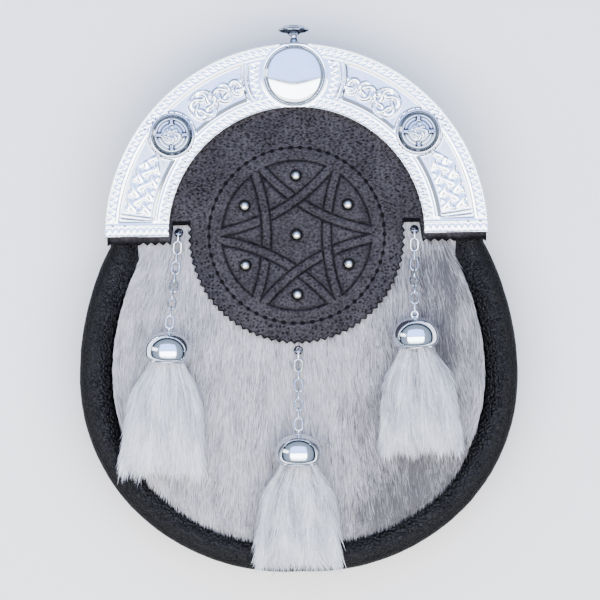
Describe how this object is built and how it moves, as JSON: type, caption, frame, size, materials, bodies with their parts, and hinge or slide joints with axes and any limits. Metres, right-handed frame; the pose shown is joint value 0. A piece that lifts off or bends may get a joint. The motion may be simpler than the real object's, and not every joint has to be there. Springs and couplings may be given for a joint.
{
  "type": "sporran",
  "caption": "Full dress sporran pouch: rounded leather body, fur front, cast metal arch with interlace, studded leather yoke, fur tassels under metal bells on chains.",
  "frame": {"origin": "centre of the bounding box's bottom face, where the sporran lies on its back", "axes": "+Y up the front towards the metal arch and its knob, +Z out of the front, +X to the wearer's left"},
  "size_m": [0.1904, 0.238, 0.0605],
  "materials": {
    "chrome_cast": "bright plated casting, relief slightly darker in its hollows",
    "chrome_smooth": "smooth bright plating",
    "yoke_leather": "black pebbled leather, embossed and pinked",
    "roll_leather": "soft black leather with a fine grain",
    "back_leather": "plain black leather",
    "fur": "short silver grey fur lying downwards",
    "tassel_fur": "long pale grey fur"
  },
  "bodies": {
    "root": {"cantle": "chrome_cast", "cabochon": "chrome_smooth", "boss_left": "chrome_cast", "boss_right": "chrome_cast", "knob": "chrome_smooth", "yoke": "yoke_leather", "gusset": "roll_leather", "back_panel": "back_leather", "belt_loop_left": "back_leather", "belt_loop_right": "back_leather", "fur_front": "fur", "tassel_left": "tassel_fur", "tassel_middle": "tassel_fur", "tassel_right": "tassel_fur", "dome_left": "chrome_smooth", "dome_middle": "chrome_smooth", "dome_right": "chrome_smooth", "chain_anchor_left": "chrome_smooth", "chain_anchor_middle": "chrome_smooth", "chain_anchor_right": "chrome_smooth", "stud_1": "chrome_smooth", "stud_2": "chrome_smooth", "stud_3": "chrome_smooth", "stud_4": "chrome_smooth", "stud_5": "chrome_smooth", "stud_6": "chrome_smooth", "stud_7": "chrome_smooth", "link_left_1": "chrome_smooth", "link_left_2": "chrome_smooth", "link_left_3": "chrome_smooth", "link_left_4": "chrome_smooth", "link_left_5": "chrome_smooth", "link_left_6": "chrome_smooth", "link_left_7": "chrome_smooth", "link_left_8": "chrome_smooth", "link_left_9": "chrome_smooth", "link_left_10": "chrome_smooth", "link_middle_1": "chrome_smooth", "link_middle_2": "chrome_smooth", "link_middle_3": "chrome_smooth", "link_middle_4": "chrome_smooth", "link_middle_5": "chrome_smooth", "link_middle_6": "chrome_smooth", "link_middle_7": "chrome_smooth", "link_middle_8": "chrome_smooth", "link_right_1": "chrome_smooth", "link_right_2": "chrome_smooth", "link_right_3": "chrome_smooth", "link_right_4": "chrome_smooth", "link_right_5": "chrome_smooth", "link_right_6": "chrome_smooth", "link_right_7": "chrome_smooth", "link_right_8": "chrome_smooth", "link_right_9": "chrome_smooth"}
  },
  "joints": []
}
